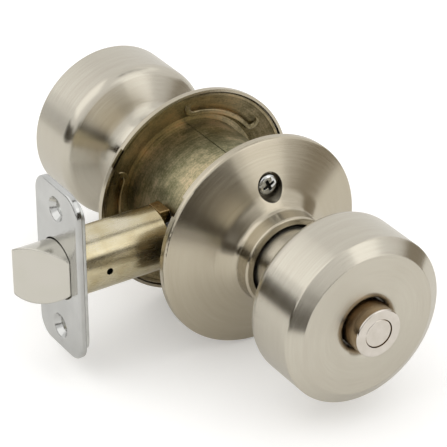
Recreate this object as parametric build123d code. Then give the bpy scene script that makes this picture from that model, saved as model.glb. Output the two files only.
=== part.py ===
"""Round privacy door knob set: two knobs, two roses, a bored lock body and a spring latch.

Frame: millimetres, +Z up. The knobs turn about the Y axis and the latch runs along -X.
The inside knob, with the push button, is at -Y. The origin is where the knob axis
crosses the latch axis, at the middle of the door.
"""
import os
from math import atan, cos, hypot, radians, sin, tan

from build123d import *

# Door and boring
DOOR_THICKNESS = 34.925
BACKSET = 60.325
DOOR_FACE = DOOR_THICKNESS / 2

# Fits
PRESS_GAP = 0.03
RUNNING_GAP = 0.08
SLIDING_GAP = 0.15
FREE_GAP = 0.3

# Roses
ROSE_RADIUS = 34.925
ROSE_WALL = 0.9
ROSE_RIM_HEIGHT = 2.2
ROSE_EDGE_FILLET = 1.0
ROSE_DISH_RADIUS = 19.6
ROSE_DISH_HEIGHT = 8.45
ROSE_DISH_FILLET = 7.0
COLLAR_RADIUS = 15.2
COLLAR_HEIGHT = 17.85
COLLAR_STRAIGHT = 6.0
COLLAR_ROOT_FILLET = 2.5
COLLAR_EDGE_FILLET = 0.9
NECK_GAP = 1.05
NOTCH_ANGLE = 145.0
NOTCH_WIDTH = 6.5
NOTCH_DEPTH = 1.0

# Mounting screws and their pockets in the inside rose
SCREW_SPACING = 43.3
SCREW_RADIUS = 2.0
SCREW_HEAD_RADIUS = 3.4
SCREW_HEAD_HEIGHT = 2.1
SCREW_HEAD_CROWN = 0.8
SCREW_SLOT_WIDTH = 0.9
SCREW_SLOT_DEPTH = 1.0
SCREW_HOLE_GAP = 0.3
POCKET_RADIUS = 4.25
POCKET_WALL = 0.8
POCKET_FLOOR_HEIGHT = 4.75

# Knobs
KNOB_RADIUS = 27.2
KNOB_WALL = 1.2
KNOB_PROJECTION = 59.65
NECK_RADIUS = 11.9
NECK_START_HEIGHT = 14.65
BELL_START_HEIGHT = 30.0
BELL_END_HEIGHT = 37.5
BELL_ROOT_FILLET = 9.0
BELL_EDGE_FILLET = 4.2
KNOB_SEAM_HEIGHT = 42.5
FACE_RADIUS = 22.8
FACE_CROWN = 0.4
CHAMFER_HEIGHT = 3.0
CHAMFER_FILLET = 0.7
LIP_FILLET = 3.0
FACE_FLANGE_DEPTH = 5.0
BUTTON_MOUTH_GAP = 0.45
INSERT_FLANGE_LEAD = 0.4
INSERT_FLANGE_THICKNESS = 1.5

# Push button, its sleeve and the locking bar
BUTTON_RADIUS = 7.8
BUTTON_PROJECTION = 4.9
BUTTON_LENGTH = 12.0
BUTTON_WALL = 1.2
BUTTON_CROWN_THICKNESS = 2.6
BUTTON_EDGE_FILLET = 0.5
BUTTON_TRAVEL = 4.0
DISC_RADIUS = 4.6
DISC_THICKNESS = 1.35
DISC_SET_BACK = 0.15
SLEEVE_WALL = 0.75
SLEEVE_FLOOR = 1.0
BAR_RADIUS = 2.2
BAR_FLANGE_THICKNESS = 1.2
BAR_TIP = 6.0
BLADE_WIDTH = 4.0
BLADE_THICKNESS = 1.8
BLADE_LENGTH = 10.0
GUIDE_LENGTH = 4.0
LOCK_PLATE_THICKNESS = 1.5
RELEASE_HOLE_RADIUS = 1.5
PLUG_DISH = 1.0

# Spindles, roll-back cams and hubs
SPINDLE_RADIUS = 8.2
SPINDLE_WALL = 1.2
SPINDLE_INNER_END = 6.6
SPINDLE_END_GAP = 1.0
CAM_THICKNESS = 3.8
CAM_HUB_WALL = 1.4
CAM_TIP_WIDTH = 3.0
HUB_PLATE_SET_IN = 3.95
HUB_PLATE_THICKNESS = 1.5
HUB_SLEEVE_WALL = 2.3
HUB_FILLET = 1.5
END_PLATE_MARGIN = 0.35
THREAD_BOSS_WALL = 1.2
THREAD_BOSS_HEIGHT = 2.0
RING_THICKNESS = 0.9
RING_WIDTH = 2.0
RING_OPENING = 5.0
CATCH_HEIGHT = 21.0
CATCH_PIN_RADIUS = 1.5
CATCH_LEAF_LENGTH = 11.0
CATCH_LEAF_WIDTH = 4.0
CATCH_LEAF_THICKNESS = 0.8
CATCH_SET_BACK = 0.3

# Lock body barrel, liner and mounting plate
BARREL_RADIUS = 23.0
BARREL_WALL = 0.85
BARREL_SEAM = 0.3
BARREL_SEAM_X = -1.0
WINDOW_HEIGHT = 17.0
WINDOW_WIDTH = 13.0
LINER_WALL = 0.8
LINER_BASE_WIDTH = 2.0
LINER_STEP = 0.5
LINER_FILLET = 0.3
LINER_RIM_GAP = 0.6
LINER_RIM_SET_BACK = 0.7
LIP_BEND_SHARE = 0.95
ARC_WIDTH = 6.4
ARC_LIP = 1.9
ARC_HEIGHT = 2.3
ARC_SPAN = 50.0
ARC_COUNT = 3
ARC_START = 38.5
ARC_EDGE_FILLET = 0.5
PLATE_WALL = 1.0
PLATE_BASE_RADIUS = 27.0
PLATE_STEP_WIDTH = 3.0
PLATE_FLANGE_SET_BACK = 0.5
PLATE_BASE_SET_BACK = 1.4

# Latch
FACEPLATE_WIDTH = 25.4
FACEPLATE_HEIGHT = 57.15
FACEPLATE_THICKNESS = 2.0
FACEPLATE_CORNER = 6.35
FACEPLATE_EDGE_FILLET = 0.7
FACEPLATE_HOLE_SPACING = 41.275
FACEPLATE_HOLE_RADIUS = 2.4
COUNTERSINK_ANGLE = 82.0
BACKING_WIDTH = 23.4
BACKING_HEIGHT = 52.0
BACKING_THICKNESS = 1.5
BACKING_CORNER = 5.0
TUBE_WALL = 0.45
TUBE_BARREL_GAP = 3.0
TUBE_HOLE_DEPTH = 12.3
TUBE_HOLE_RADIUS = 1.1
TUBE_END_FILLET = 0.4
BOLT_RADIUS = 9.6
BOLT_FLAT = 7.55
BOLT_BACK_FLAT = 6.2
BOLT_THROW = 12.3
BOLT_TIP_Y = 5.3
BOLT_TIP_FILLET = 0.4
BEVEL_CROWN = 1.6
BEVEL_FILLET = 38.0
BOLT_SHANK = 14.3
BOLT_SET_IN = 0.3
BOLT_HOLE_GAP = 0.35
TAIL_HALF_HEIGHT = 2.9
TAIL_THICKNESS = 3.0
TAIL_SOCKET = 12.0
TAIL_HEAD_HALF_HEIGHT = 5.0
TAIL_HEAD_THICKNESS = 1.6
TAIL_HEAD_WIDTH = 6.0
TAIL_PIN_RADIUS = 1.0
TAIL_PIN_LENGTH = 9.0
YOKE_THICKNESS = 1.5
PRONG_WIDTH = 6.8
PRONG_THICKNESS = 4.5
PRONG_FILLET = 0.4

# Retractor
TURN = 60.0
TRAVEL = BOLT_THROW + BOLT_SET_IN
SHOULDER_AT = 1.0
SHOULDER_THICKNESS = 2.2
SHOULDER_HEIGHT = 4.0
ARM_WIDTH = 7.2
ARM_GAP = 0.3
CLAW_THICKNESS = 2.0
CLAW_DEPTH = 1.9
WEB_THICKNESS = 1.2
BAR_WEB_GAP = 0.7
SPRING_POCKET_RADIUS = 2.3
SPRING_POCKET_DEPTH = 13.1
SEAT_THICKNESS = 0.8
SEAT_HALF_HEIGHT = 10.0
SEAT_WIDTH = 12.0

# Springs: wire radius, coil radius and number of turns
BOLT_SPRING = (0.4, 5.6, 5)
BUTTON_SPRING = (0.35, 4.9, 5)
RETRACTOR_SPRING = (0.3, 1.7, 7)

# Places along the knob axis, and radii that follow from the fits
COLLAR_TOP = DOOR_FACE + COLLAR_HEIGHT
COLLAR_BORE_RADIUS = NECK_RADIUS + NECK_GAP
NECK_START = DOOR_FACE + NECK_START_HEIGHT
FACE_AT = DOOR_FACE + KNOB_PROJECTION
KNOB_SEAM = DOOR_FACE + KNOB_SEAM_HEIGHT
INSERT_FLANGE = KNOB_SEAM - INSERT_FLANGE_LEAD
INSERT_FACE = INSERT_FLANGE + INSERT_FLANGE_THICKNESS
BUTTON_FACE = FACE_AT + BUTTON_PROJECTION
BUTTON_UNDERSIDE = BUTTON_FACE - BUTTON_CROWN_THICKNESS
BUTTON_BORE = BUTTON_RADIUS - BUTTON_WALL
SLEEVE_BORE = BUTTON_RADIUS + SLIDING_GAP
SLEEVE_RADIUS = SLEEVE_BORE + SLEEVE_WALL
FACE_BORE_RADIUS = BUTTON_RADIUS + BUTTON_MOUTH_GAP
SPINDLE_BORE = SPINDLE_RADIUS - SPINDLE_WALL
SPINDLE_OUTER_END = INSERT_FLANGE - SPINDLE_END_GAP
CAM_HUB_RADIUS = SPINDLE_RADIUS + CAM_HUB_WALL
HUB_PLATE_AT = DOOR_FACE - HUB_PLATE_SET_IN
HUB_SLEEVE_RADIUS = SPINDLE_RADIUS + HUB_SLEEVE_WALL
RING_START = NECK_START - SLIDING_GAP - RING_THICKNESS
HUB_SLEEVE_END = RING_START - 2 * SLIDING_GAP
CATCH_AT = DOOR_FACE + CATCH_HEIGHT
BARREL_BORE = BARREL_RADIUS - BARREL_WALL
LINER_BASE_RADIUS = BARREL_RADIUS + LINER_BASE_WIDTH
ARC_INNER_RADIUS = LINER_BASE_RADIUS + LINER_STEP
ARC_OUTER_RADIUS = ARC_INNER_RADIUS + ARC_WIDTH
ARC_LIMIT_RADIUS = ARC_OUTER_RADIUS + LINER_STEP
ROSE_BORE = ROSE_RADIUS - ROSE_WALL
PLATE_FLANGE_RADIUS = PLATE_BASE_RADIUS + PLATE_STEP_WIDTH
POCKET_FLOOR = DOOR_FACE + POCKET_FLOOR_HEIGHT
SCREW_SIDES = (SCREW_SPACING / 2, -SCREW_SPACING / 2)
THREAD_BOSS_RADIUS = SCREW_RADIUS + THREAD_BOSS_WALL

# Places along the latch
TUBE_BORE = BOLT_RADIUS + SLIDING_GAP
TUBE_RADIUS = TUBE_BORE + TUBE_WALL
TUBE_START = -BACKSET + FACEPLATE_THICKNESS
TUBE_END = -BARREL_RADIUS - TUBE_BARREL_GAP
YOKE_FACE = TUBE_END - YOKE_THICKNESS
BOLT_TIP = -BACKSET - BOLT_THROW
BOLT_BACK = -BACKSET + BOLT_SHANK
FACEPLATE_HOLES = (FACEPLATE_HOLE_SPACING / 2, -FACEPLATE_HOLE_SPACING / 2)

# Retractor and tail: the tail's cross head stays clear of the locking bar when drawn in
TAIL_HEAD_START = -BAR_RADIUS - 2 * FREE_GAP - TRAVEL - TAIL_HEAD_THICKNESS
ARM_LOW = TAIL_HEAD_HALF_HEIGHT + ARM_GAP
ARM_HIGH = CAM_HUB_RADIUS + 2 * FREE_GAP
SPRING_OFFSET = (ARM_LOW + ARM_HIGH) / 2
WEB_START = BAR_RADIUS + BAR_WEB_GAP
WEB_END = WEB_START + WEB_THICKNESS
SPRING_POCKET_BOTTOM = WEB_END - SPRING_POCKET_DEPTH
SEAT_FACE = ((BARREL_BORE - SLIDING_GAP) ** 2 - SEAT_HALF_HEIGHT**2) ** 0.5 - SEAT_THICKNESS
CAM_BASE_RADIUS = TRAVEL / radians(TURN)

os.makedirs("parts", exist_ok=True)


def closed_outline(corners):
    """Face inside the corners, each given as two places and a corner fillet."""
    points = [corner[:2] for corner in corners]
    fillets = [corner[2] for corner in corners]
    return make_face(FilletPolyline(*points, radius=fillets, close=True))


def turned(*corners):
    """Solid of revolution about the knob axis from a closed outline."""
    return revolve(closed_outline(corners), Axis.Y)


def sleeve(outer, bore, start, end):
    """Plain tube about the knob axis."""
    return turned((bore, start, 0), (outer, start, 0), (outer, end, 0), (bore, end, 0))


def open_profile(corners):
    """Line through the corners, rounded at all but its two ends."""
    points = [corner[:2] for corner in corners]
    fillets = [corner[2] for corner in corners[1:-1]]
    return FilletPolyline(*points, radius=fillets)


def pressed(wall, *corners):
    """Sheet of one thickness drawn to an open profile, its wall to the left of the line."""
    outline = offset(open_profile(corners), amount=wall, side=Side.LEFT)
    return revolve(make_face(outline.edges()), Axis.Y)


def rod_y(radius, start, end, x=0.0, z=0.0):
    """Round rod along the knob axis direction."""
    return extrude(Plane(origin=(x, start, z), z_dir=(0, 1, 0)) * Circle(radius), end - start)


def rod_x(radius, start, end, y=0.0, z=0.0):
    """Round rod along the latch direction."""
    return extrude(Plane(origin=(start, y, z), z_dir=(1, 0, 0)) * Circle(radius), end - start)


def rod_z(radius, start, end, x=0.0, y=0.0):
    """Round rod along the height."""
    return extrude(Plane(origin=(x, y, start)) * Circle(radius), end - start)


def block(x, y, z):
    """Box between pairs of limits."""
    size = Box(x[1] - x[0], y[1] - y[0], z[1] - z[0])
    return Pos((x[0] + x[1]) / 2, (y[0] + y[1]) / 2, (z[0] + z[1]) / 2) * size


def coil(spring, start, end, direction):
    """Helical spring of hexagonal wire between two end planes along an axis through start."""
    wire, radius, turns = spring
    run = (Vector(*end) - Vector(*start)).length - 2 * wire
    first = Vector(*start) + Vector(*direction) * wire
    path = Helix(run / turns, run, radius, first, direction)
    section = Plane(origin=path @ 0, z_dir=path % 0) * RegularPolygon(wire, 6)
    return sweep(section, path=path, is_frenet=True)


def inside(shape):
    """The same piece on the inside of the door."""
    return mirror(shape, about=Plane.XZ)


def save(name, shape):
    """Write one named piece."""
    export_step(shape, f"parts/{name}.step")


def rose_outline():
    """Trumpet-shaped outer line of a rose, from its rim to its collar bore."""
    return (
        (ROSE_RADIUS, DOOR_FACE, 0),
        (ROSE_RADIUS, DOOR_FACE + ROSE_RIM_HEIGHT, ROSE_EDGE_FILLET),
        (ROSE_DISH_RADIUS, DOOR_FACE + ROSE_DISH_HEIGHT, ROSE_DISH_FILLET),
        (COLLAR_RADIUS, COLLAR_TOP - COLLAR_STRAIGHT, COLLAR_ROOT_FILLET),
        (COLLAR_RADIUS, COLLAR_TOP, COLLAR_EDGE_FILLET),
        (COLLAR_BORE_RADIUS, COLLAR_TOP, 0),
    )


def rose_slope():
    """Rise of the rose's cone for each millimetre inwards."""
    return (ROSE_DISH_HEIGHT - ROSE_RIM_HEIGHT) / (ROSE_RADIUS - ROSE_DISH_RADIUS)


def under_rose(radius):
    """Place of the rose's inner face on its cone, at a radius."""
    slope = rose_slope()
    outer = DOOR_FACE + ROSE_RIM_HEIGHT + slope * (ROSE_RADIUS - radius)
    return outer - ROSE_WALL * hypot(1, slope)


def rose():
    """Pressed rose of one sheet thickness, with a notch in its rim to pry it off."""
    notch = block(
        (ROSE_BORE - ROSE_WALL, ROSE_RADIUS + ROSE_WALL),
        (0, DOOR_FACE + NOTCH_DEPTH),
        (-NOTCH_WIDTH / 2, NOTCH_WIDTH / 2),
    )
    return pressed(ROSE_WALL, *rose_outline()) - Rot(0, -NOTCH_ANGLE, 0) * notch


def rose_with_pockets():
    """Rose with two drawn pockets that take the screw heads."""
    rim, *_, bore = rose_outline()
    solid = turned(*rose_outline(), (bore[0], rim[1], 0))
    shell = rose()
    for z in SCREW_SIDES:
        cup = rod_y(POCKET_RADIUS + POCKET_WALL, POCKET_FLOOR - ROSE_WALL, COLLAR_TOP, z=z)
        shell += cup & solid
        shell -= rod_y(POCKET_RADIUS, POCKET_FLOOR, COLLAR_TOP, z=z)
        shell -= rod_y(SCREW_RADIUS + SCREW_HOLE_GAP, DOOR_FACE, COLLAR_TOP, z=z)
    return shell


def mounting_screws():
    """Two pan head screws with a combined slot and cross recess."""
    screws = []
    top = POCKET_FLOOR + SCREW_HEAD_HEIGHT
    for z in SCREW_SIDES:
        head = turned(
            (0, POCKET_FLOOR, 0),
            (SCREW_HEAD_RADIUS, POCKET_FLOOR, 0),
            (SCREW_HEAD_RADIUS, top, SCREW_HEAD_CROWN),
            (0, top, 0),
        )
        shank = rod_y(SCREW_RADIUS, HUB_PLATE_AT, POCKET_FLOOR)
        slot_z = (-SCREW_HEAD_RADIUS, SCREW_HEAD_RADIUS)
        slot_x = (-SCREW_SLOT_WIDTH / 2, SCREW_SLOT_WIDTH / 2)
        slot_y = (top - SCREW_SLOT_DEPTH, top)
        cross = block((-SCREW_RADIUS, SCREW_RADIUS), slot_y, slot_x)
        screw = head + shank - block(slot_x, slot_y, slot_z) - cross
        screws.append(Pos(0, 0, z) * screw)
    return Compound(children=screws)


def mounting_plate():
    """Stamped plate under the inside rose, pierced for the hub and the screws."""
    base = DOOR_FACE + PLATE_BASE_SET_BACK
    flange = DOOR_FACE + PLATE_FLANGE_SET_BACK
    plate = pressed(
        PLATE_WALL,
        (ROSE_BORE - RUNNING_GAP, flange + PLATE_WALL, 0),
        (PLATE_FLANGE_RADIUS, flange + PLATE_WALL, LINER_FILLET),
        (PLATE_BASE_RADIUS, base + PLATE_WALL, LINER_FILLET + PLATE_WALL),
        (HUB_SLEEVE_RADIUS + SLIDING_GAP, base + PLATE_WALL, 0),
    )
    for z in SCREW_SIDES:
        plate -= rod_y(SCREW_RADIUS + SCREW_HOLE_GAP, DOOR_FACE, POCKET_FLOOR, z=z)
    return plate


def liner_back():
    """Place of the back of the liner's base, close under the rose."""
    return under_rose(LINER_BASE_RADIUS) - FREE_GAP


def liner():
    """Stamped liner in the outside rose: dished, with raised lips round three sunken arcs."""
    base = liner_back()
    rim = ROSE_BORE - LINER_RIM_GAP
    lip_start = DOOR_FACE + LINER_RIM_SET_BACK
    lip_end = under_rose(rim) - FREE_GAP
    bend = LINER_FILLET + LINER_WALL
    lip_bend = LIP_BEND_SHARE * (lip_end - lip_start) / tan(radians(45) - atan(rose_slope()) / 2)
    dish = pressed(
        LINER_WALL,
        (rim, lip_start, 0),
        (rim, lip_end, min(bend, lip_bend)),
        (LINER_BASE_RADIUS, base, bend),
        (BARREL_RADIUS + RUNNING_GAP, base, 0),
    )
    middle = (ARC_INNER_RADIUS + ARC_OUTER_RADIUS) / 2
    arc_face = base - LINER_WALL - ARC_HEIGHT
    room = turned(
        (LINER_BASE_RADIUS, base, 0),
        (ARC_LIMIT_RADIUS, under_rose(ARC_LIMIT_RADIUS) - FREE_GAP, 0),
        (ARC_LIMIT_RADIUS, arc_face, 0),
        (BARREL_RADIUS, arc_face, 0),
        (BARREL_RADIUS, base, 0),
    )
    face_plane = Plane(origin=(0, arc_face, 0), x_dir=(1, 0, 0), z_dir=(0, -1, 0))
    for number in range(ARC_COUNT):
        path = CenterArc((0, 0), middle, ARC_START + number * 360 / ARC_COUNT, ARC_SPAN)
        lip = SlotArc(path, ARC_WIDTH) - SlotArc(path, ARC_WIDTH - 2 * ARC_LIP)
        ring = extrude(face_plane * lip, arc_face - base)
        ring = fillet(ring.edges().group_by(Axis.Y)[0], ARC_EDGE_FILLET)
        dish += ring & room
    return dish


def barrel():
    """Rolled tube with a butt seam along the top and a window for the latch tail."""
    ends = (-HUB_PLATE_AT, liner_back())
    tube = sleeve(BARREL_RADIUS, BARREL_BORE, *ends)
    half_seam = BARREL_SEAM / 2
    seam = block(
        (BARREL_SEAM_X - half_seam, BARREL_SEAM_X + half_seam),
        ends,
        (BARREL_BORE - BARREL_WALL, BARREL_RADIUS),
    )
    window = block(
        (-BARREL_RADIUS, -BARREL_BORE / 2),
        (-WINDOW_WIDTH / 2, WINDOW_WIDTH / 2),
        (-WINDOW_HEIGHT / 2, WINDOW_HEIGHT / 2),
    )
    return tube - seam - window


def hub(plate_radius):
    """Flanged bearing: a plate across the barrel with a sleeve that carries a spindle."""
    bore = SPINDLE_RADIUS + RUNNING_GAP
    plate_face = HUB_PLATE_AT + HUB_PLATE_THICKNESS
    return turned(
        (bore, HUB_PLATE_AT, 0),
        (plate_radius, HUB_PLATE_AT, 0),
        (plate_radius, plate_face, 0),
        (HUB_SLEEVE_RADIUS, plate_face, HUB_FILLET),
        (HUB_SLEEVE_RADIUS, HUB_SLEEVE_END, 0),
        (bore, HUB_SLEEVE_END, 0),
    )


def threaded_hub():
    """End plate of the lock body with two threaded bosses for the mounting screws."""
    plate = hub(max(BARREL_RADIUS, SCREW_SPACING / 2 + THREAD_BOSS_RADIUS + END_PLATE_MARGIN))
    boss_end = HUB_PLATE_AT + HUB_PLATE_THICKNESS + THREAD_BOSS_HEIGHT
    for z in SCREW_SIDES:
        plate += rod_y(THREAD_BOSS_RADIUS, HUB_PLATE_AT, boss_end, z=z)
        plate -= rod_y(SCREW_RADIUS + PRESS_GAP, HUB_PLATE_AT, boss_end, z=z)
    return plate


def spindle():
    """Tube that carries a knob, pierced for the knob catch."""
    tube = sleeve(SPINDLE_RADIUS, SPINDLE_BORE, SPINDLE_INNER_END, SPINDLE_OUTER_END)
    return tube - catch_hole()


def catch_hole():
    """Round hole on the underside for the knob catch."""
    start = Plane(origin=(0, CATCH_AT, 0), z_dir=(0, 0, -1))
    return extrude(start * Circle(CATCH_PIN_RADIUS + PRESS_GAP), ROSE_RADIUS)


def knob_catch():
    """Leaf spring in the spindle with a pin that holds the knob."""
    top = -(SPINDLE_BORE - 2 * CATCH_SET_BACK - CATCH_LEAF_THICKNESS)
    leaf = block(
        (-CATCH_LEAF_WIDTH / 2, CATCH_LEAF_WIDTH / 2),
        (CATCH_AT - CATCH_LEAF_WIDTH / 2, CATCH_AT + CATCH_LEAF_LENGTH),
        (top - CATCH_LEAF_THICKNESS, top),
    )
    return leaf + rod_z(CATCH_PIN_RADIUS, CATCH_SET_BACK - NECK_RADIUS, top, y=CATCH_AT)


def retaining_ring():
    """Open spring ring on the spindle against the end of the hub."""
    ends = (RING_START, RING_START + RING_THICKNESS)
    bore = SPINDLE_RADIUS + PRESS_GAP
    ring = sleeve(bore + RING_WIDTH, bore, *ends)
    mouth = (-RING_OPENING / 2, RING_OPENING / 2)
    return ring - block(mouth, ends, (0, bore + RING_WIDTH))


def cam_horn():
    """Involute horn that rolls along the retractor's flat shoulder."""
    first = (SHOULDER_AT - FREE_GAP) / CAM_BASE_RADIUS

    def flank(share):
        swing = radians(TURN) * share
        roll = first + swing
        along = roll * cos(swing) - sin(swing)
        away = roll * sin(swing) + cos(swing)
        return (CAM_BASE_RADIUS * along, CAM_BASE_RADIUS * away)

    start = flank(0)
    tip = flank(1)
    back = (tip[0] - CAM_TIP_WIDTH, tip[1] - CAM_TIP_WIDTH / 2)
    edges = [
        Spline(start, flank(0.25), flank(0.5), flank(0.75), tip),
        Polyline(tip, back, (-CAM_HUB_RADIUS, 0), (0, 0), (start[0], 0), start),
    ]
    return make_face(edges)


def roll_back_cam():
    """Cam on the spindle's end: a hub and a horn for each way of turning."""
    horn = cam_horn()
    outline = horn + mirror(horn, about=Plane.XZ)
    drawing = Plane(origin=(0, SPINDLE_INNER_END, 0), x_dir=(1, 0, 0), z_dir=(0, -1, 0))
    plate = extrude(drawing * outline, -CAM_THICKNESS)
    neck = rod_y(CAM_HUB_RADIUS, SPINDLE_INNER_END, HUB_PLATE_AT - SLIDING_GAP)
    bore = rod_y(SPINDLE_RADIUS + PRESS_GAP, SPINDLE_INNER_END, HUB_PLATE_AT)
    return plate + neck - bore


def knob_shell():
    """Drawn drum and face, with the face turned in round the button."""
    return pressed(
        KNOB_WALL,
        (KNOB_RADIUS, KNOB_SEAM, 0),
        (KNOB_RADIUS, FACE_AT - FACE_CROWN - CHAMFER_HEIGHT, CHAMFER_FILLET),
        (FACE_RADIUS, FACE_AT - FACE_CROWN, CHAMFER_FILLET),
        (FACE_BORE_RADIUS, FACE_AT, LIP_FILLET),
        (FACE_BORE_RADIUS, FACE_AT - FACE_FLANGE_DEPTH, 0),
    )


def knob_back():
    """Drawn bell and neck that closes the drum."""
    bell = pressed(
        KNOB_WALL,
        (NECK_RADIUS, NECK_START, 0),
        (NECK_RADIUS, DOOR_FACE + BELL_START_HEIGHT, BELL_ROOT_FILLET),
        (KNOB_RADIUS, DOOR_FACE + BELL_END_HEIGHT, BELL_EDGE_FILLET),
        (KNOB_RADIUS, KNOB_SEAM, 0),
    )
    return bell - catch_hole()


def knob_insert():
    """Core tube in the neck, with a flange that stiffens the drum."""
    bore = SPINDLE_RADIUS + PRESS_GAP
    tube_radius = NECK_RADIUS - KNOB_WALL - PRESS_GAP
    core = turned(
        (bore, NECK_START, 0),
        (tube_radius, NECK_START, 0),
        (tube_radius, INSERT_FLANGE, HUB_FILLET),
        (KNOB_RADIUS - KNOB_WALL - PRESS_GAP, INSERT_FLANGE, 0),
        (KNOB_RADIUS - KNOB_WALL - PRESS_GAP, INSERT_FACE, 0),
        (bore, INSERT_FACE, 0),
    )
    return core - catch_hole()


def button_sleeve():
    """Cup in the knob's face that guides the button and seats its spring."""
    top = FACE_AT - FACE_FLANGE_DEPTH - FREE_GAP
    hole = BAR_RADIUS + FREE_GAP
    return turned(
        (hole, INSERT_FACE, 0),
        (SLEEVE_RADIUS, INSERT_FACE, 0),
        (SLEEVE_RADIUS, top, 0),
        (SLEEVE_BORE, top, 0),
        (SLEEVE_BORE, INSERT_FACE + SLEEVE_FLOOR, 0),
        (hole, INSERT_FACE + SLEEVE_FLOOR, 0),
    )


def push_button():
    """Hollow button with a recess in its face for the centre disc."""
    back = BUTTON_FACE - BUTTON_LENGTH
    recess = BUTTON_FACE - DISC_SET_BACK - DISC_THICKNESS
    return turned(
        (0, BUTTON_UNDERSIDE, 0),
        (BUTTON_BORE, BUTTON_UNDERSIDE, 0),
        (BUTTON_BORE, back, 0),
        (BUTTON_RADIUS, back, 0),
        (BUTTON_RADIUS, BUTTON_FACE, BUTTON_EDGE_FILLET),
        (DISC_RADIUS + RUNNING_GAP, BUTTON_FACE, 0),
        (DISC_RADIUS + RUNNING_GAP, recess, 0),
        (0, recess, 0),
    )


def button_disc():
    """Centre disc pressed into the button's face."""
    front = BUTTON_FACE - DISC_SET_BACK
    return turned(
        (0, front - DISC_THICKNESS, 0),
        (DISC_RADIUS, front - DISC_THICKNESS, 0),
        (DISC_RADIUS, front, BUTTON_EDGE_FILLET),
        (0, front, 0),
    )


def locking_bar():
    """Rod from the button through the spindle, flattened to a blade at its far end."""
    rod = rod_y(BAR_RADIUS, BLADE_LENGTH - BAR_TIP, BUTTON_UNDERSIDE)
    flange_start = BUTTON_UNDERSIDE - BAR_FLANGE_THICKNESS
    flange = rod_y(BUTTON_BORE - PRESS_GAP, flange_start, BUTTON_UNDERSIDE)
    blade = block(
        (-BLADE_THICKNESS / 2, BLADE_THICKNESS / 2),
        (-BAR_TIP, BLADE_LENGTH - BAR_TIP),
        (-BLADE_WIDTH / 2, BLADE_WIDTH / 2),
    )
    return rod + flange + blade


def bar_guide():
    """Bush in the inside spindle that keeps the locking bar on the axis."""
    start = SPINDLE_INNER_END
    return sleeve(SPINDLE_BORE - PRESS_GAP, BAR_RADIUS + RUNNING_GAP, start, start + GUIDE_LENGTH)


def lock_plate():
    """Slotted disc in the outside spindle that takes the blade when the button is in."""
    start = BAR_TIP + BUTTON_TRAVEL - LOCK_PLATE_THICKNESS
    disc = rod_y(SPINDLE_BORE - PRESS_GAP, start, start + LOCK_PLATE_THICKNESS)
    slot = block(
        (-BLADE_THICKNESS / 2 - FREE_GAP, BLADE_THICKNESS / 2 + FREE_GAP),
        (start, start + LOCK_PLATE_THICKNESS),
        (-BLADE_WIDTH / 2 - FREE_GAP, BLADE_WIDTH / 2 + FREE_GAP),
    )
    return disc - slot


def face_plug():
    """Dished plug in the outside knob's face with the emergency release hole."""
    top = FACE_AT - PLUG_DISH
    radius = FACE_BORE_RADIUS - RUNNING_GAP
    return turned(
        (RELEASE_HOLE_RADIUS, INSERT_FACE, 0),
        (radius, INSERT_FACE, 0),
        (radius, top, BUTTON_EDGE_FILLET),
        (RELEASE_HOLE_RADIUS, top - PLUG_DISH, 0),
    )


def mirrored_span(low, high, side):
    """Limits of a feature above the axis, or of its twin below."""
    return sorted((side * low, side * high))


def retractor():
    """Slide with two sprung arms, claws for the latch tail and shoulders for the cams."""
    claw_end = TAIL_HEAD_START - ARM_GAP / 2
    claw_start = claw_end - CLAW_THICKNESS
    width = (-ARM_WIDTH / 2, ARM_WIDTH / 2)
    wing = SPINDLE_INNER_END + CAM_THICKNESS
    shoulder_end = SHOULDER_AT + SHOULDER_THICKNESS
    slide = block((WEB_START, WEB_END), width, (-ARM_HIGH, ARM_HIGH))
    for side in (1, -1):
        arm = mirrored_span(ARM_LOW, ARM_HIGH, side)
        claw = mirrored_span(ARM_LOW - CLAW_DEPTH, ARM_LOW, side)
        shoulder = mirrored_span(ARM_HIGH, ARM_HIGH + SHOULDER_HEIGHT, side)
        slide += block((claw_start, WEB_END), width, arm)
        slide += block((claw_start, claw_end), width, claw)
        slide += block((SHOULDER_AT, shoulder_end), (-wing, wing), shoulder)
        slide -= rod_x(SPRING_POCKET_RADIUS, SPRING_POCKET_BOTTOM, WEB_END, z=side * SPRING_OFFSET)
    room = rod_y(BARREL_BORE - FREE_GAP, -wing, wing)
    return slide & room & Pos(-TRAVEL, 0, 0) * room


def spring_seat():
    """Plate against the barrel wall that the retractor springs push on."""
    return block(
        (SEAT_FACE, SEAT_FACE + SEAT_THICKNESS),
        (-SEAT_WIDTH / 2, SEAT_WIDTH / 2),
        (-SEAT_HALF_HEIGHT, SEAT_HALF_HEIGHT),
    )


def retractor_springs():
    """Two springs that return the retractor."""
    springs = []
    for z in (SPRING_OFFSET, -SPRING_OFFSET):
        springs.append(coil(RETRACTOR_SPRING, (SPRING_POCKET_BOTTOM, 0, z), (SEAT_FACE, 0, z), (1, 0, 0)))
    return Compound(children=springs)


def latch_plane(x):
    """Drawing plane across the latch, with the outline's X along Y and its Y along Z."""
    return Plane(origin=(x, 0, 0), x_dir=(0, 1, 0), z_dir=(1, 0, 0))


def bolt_opening(gap):
    """Round outline of the bolt with its two flats, grown by a gap."""
    across = Rectangle(BOLT_FLAT + BOLT_BACK_FLAT + 2 * gap, 4 * BOLT_RADIUS)
    return Circle(BOLT_RADIUS + gap) & Pos((BOLT_BACK_FLAT - BOLT_FLAT) / 2, 0) * across


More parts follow.
